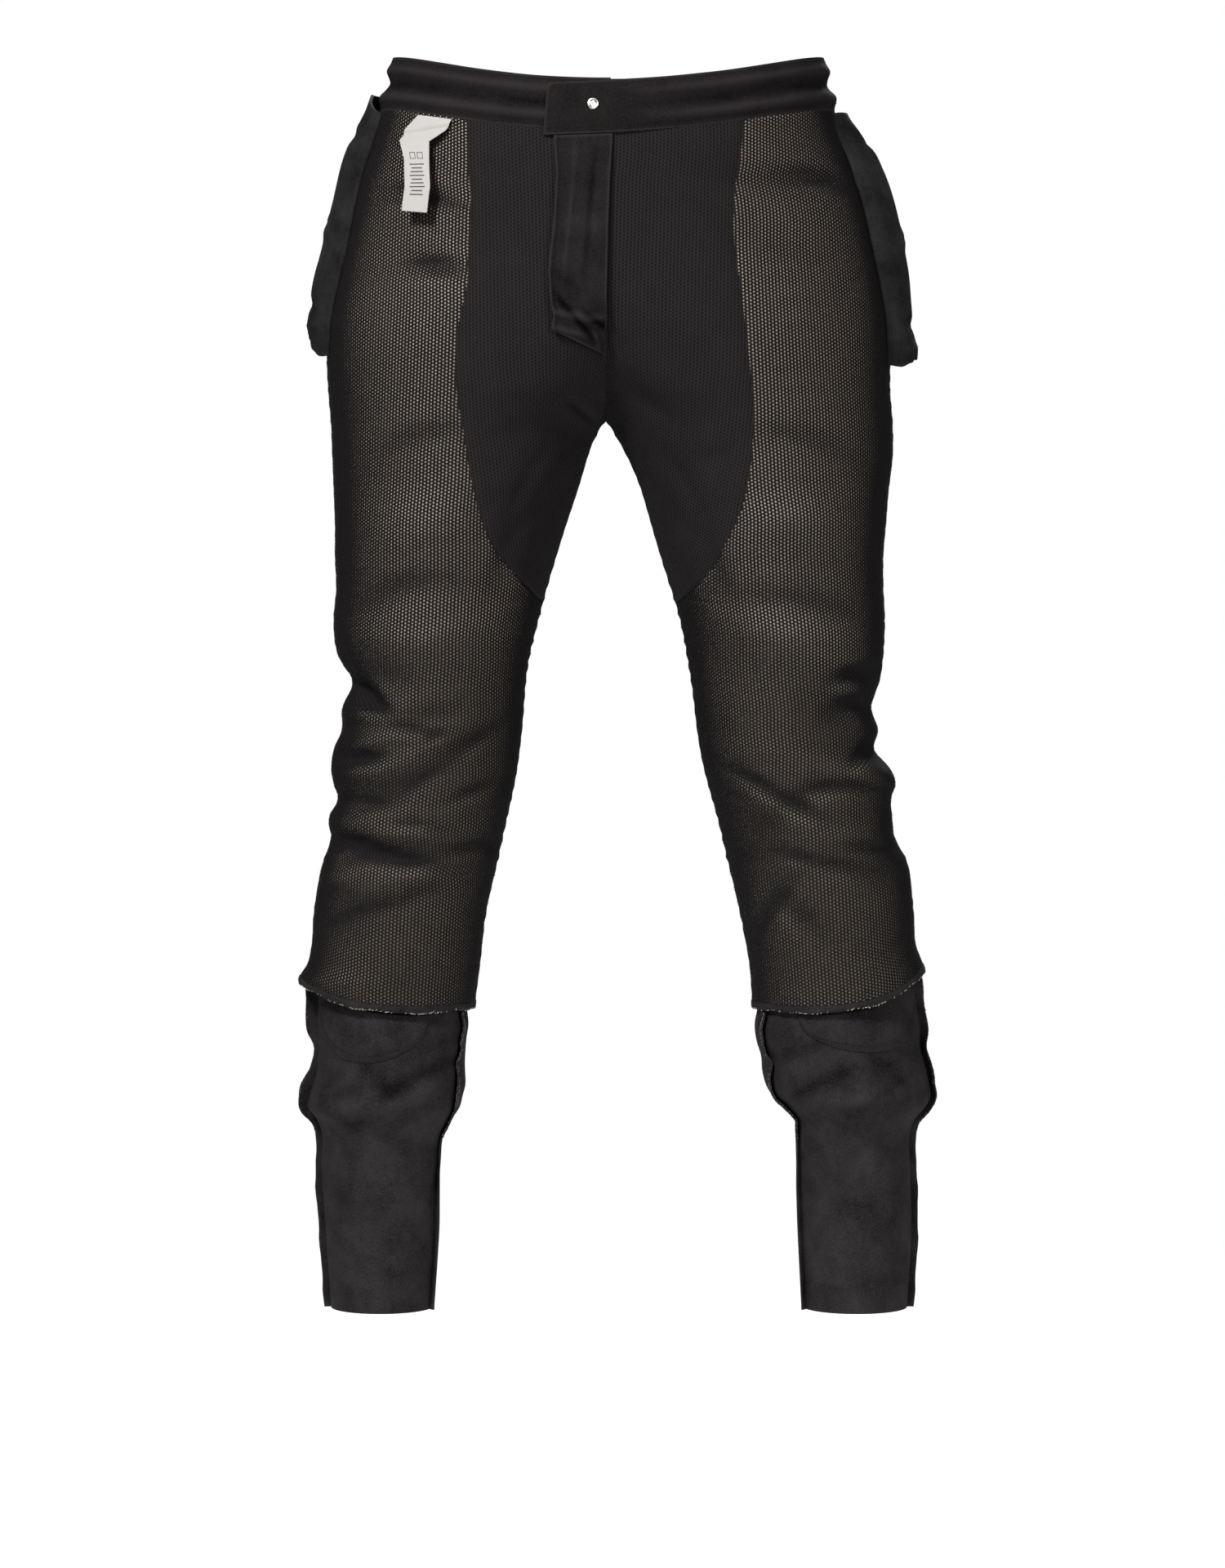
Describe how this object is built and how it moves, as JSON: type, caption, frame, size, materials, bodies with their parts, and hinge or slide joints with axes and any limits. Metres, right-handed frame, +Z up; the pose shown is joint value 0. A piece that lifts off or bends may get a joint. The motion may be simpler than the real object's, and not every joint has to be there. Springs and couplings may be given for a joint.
{
  "type": "motorcycle trousers",
  "caption": "Lined motorcycle trousers worn inside out, legs apart, with mesh lining, hanging pocket bags and denim shins.",
  "frame": {"origin": "middle of the waist opening", "axes": "+Z up the body, -Y out of the trousers' front, +X towards the right of the front view"},
  "size_m": [0.4861, 0.2563, 0.9482],
  "materials": {
    "denim": "matte black denim, wrong side",
    "lined_mesh": "black mesh over cream aramid cloth",
    "crotch_mesh": "black mesh over black denim",
    "pocket_cloth": "matte black pocket cloth",
    "label_satin": "white satin tape",
    "button_metal": "bright plated metal"
  },
  "bodies": {
    "root": {"back_lining_left": "lined_mesh", "back_lining_right": "lined_mesh", "button_back": "button_metal", "care_label": "label_satin", "fly_shield": "denim", "front_crotch_left": "crotch_mesh", "front_crotch_right": "crotch_mesh", "front_lining_left": "lined_mesh", "front_lining_right": "lined_mesh", "inseam_left": "denim", "inseam_right": "denim", "knee_pocket_left": "denim", "knee_pocket_right": "denim", "lining_hem_left": "denim", "lining_hem_right": "denim", "outseam_left": "denim", "outseam_right": "denim", "pocket_bag_left": "pocket_cloth", "pocket_bag_right": "pocket_cloth", "shin_back_left": "denim", "shin_back_right": "denim", "shin_front_left": "denim", "shin_front_right": "denim", "waistband": "denim"}
  },
  "joints": []
}
